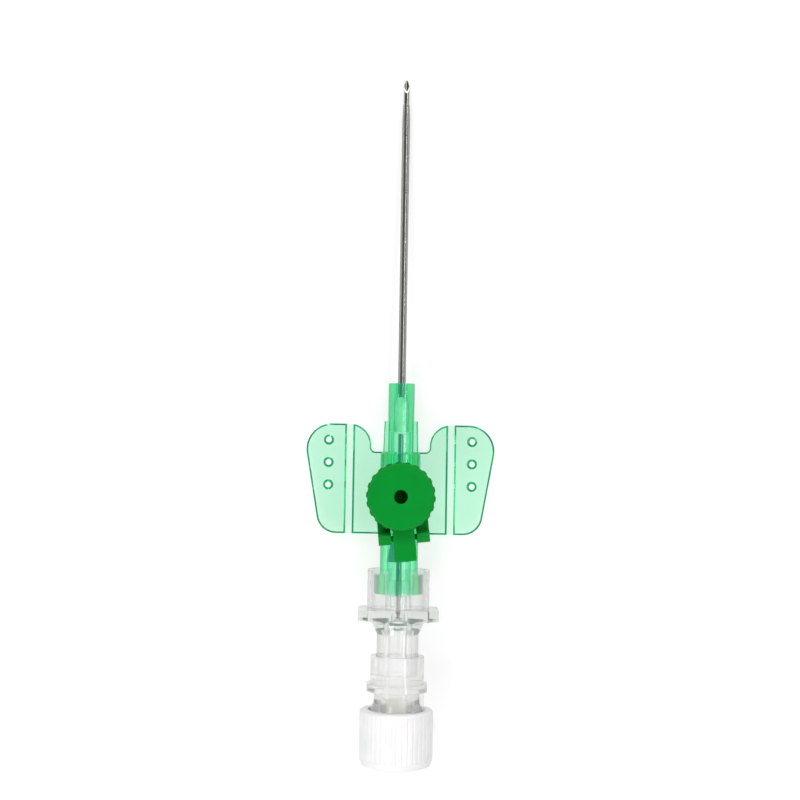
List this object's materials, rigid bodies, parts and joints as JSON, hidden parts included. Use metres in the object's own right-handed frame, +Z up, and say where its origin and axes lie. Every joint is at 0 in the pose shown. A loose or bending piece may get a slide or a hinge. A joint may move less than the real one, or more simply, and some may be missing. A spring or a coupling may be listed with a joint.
{
  "type": "iv cannula",
  "caption": "Winged, ported intravenous cannula: plastic tube over a bevelled steel needle, green hub with snap-cap port, clear flash chamber, vent plug and white screw stopper.",
  "frame": {"origin": "bottom centre of the bounding box, on the surface the cannula lies on, midway between the needle's point and the stopper's end", "axes": "+Y along the needle towards its point as it lies, +Z up with the injection port on top, +X to the right seen from the stopper"},
  "size_m": [0.0308, 0.1116, 0.0147],
  "materials": {
    "hub_green": "translucent light green polypropylene, smooth moulded",
    "tube_clear": "clear fluoropolymer tube, satin",
    "steel": "drawn stainless steel, polished",
    "silicone": "milky silicone rubber",
    "closure_green": "opaque green polypropylene, satin moulded",
    "housing_clear": "clear moulded plastic, polished",
    "filter_grey": "sintered porous plastic",
    "stopper_white": "white polyethylene, fine grip grooves"
  },
  "bodies": {
    "catheter": {"catheter_hub": "hub_green", "catheter_tube": "tube_clear", "catheter_wedge": "steel", "valve_sleeve": "silicone", "safety_clip": "steel"},
    "needle": {"needle_tube": "steel", "needle_hub": "housing_clear"},
    "vent": {"vent_plug": "housing_clear", "vent_filter": "filter_grey"},
    "stopper": {"luer_stopper": "stopper_white"},
    "collar": {"port_collar": "closure_green"},
    "cap": {"port_cap": "closure_green"}
  },
  "joints": [
    {"name": "needle_withdraw", "type": "slide", "parent": "catheter", "child": "needle", "axis": [0, -0.9987, 0.0503], "range_m": [0, 0.09]},
    {"name": "vent_pull", "type": "slide", "parent": "needle", "child": "vent", "axis": [0, -0.9987, 0.0503], "range_m": [0, 0.012]},
    {"name": "stopper_off", "type": "slide", "parent": "vent", "child": "stopper", "axis": [0, -0.9987, 0.0503], "range_m": [0, 0.015]},
    {"name": "collar_swivel", "type": "hinge", "parent": "catheter", "child": "collar", "pos_m": [0, -0.01211, 0.01006], "axis": [0, 0.0503, 0.9987], "continuous": true},
    {"name": "cap_flip", "type": "hinge", "parent": "collar", "child": "cap", "pos_m": [0.00061, -0.01837, 0.01248], "axis": [0.9954, 0.0957, -0.0048], "range_deg": [0, 110]}
  ]
}
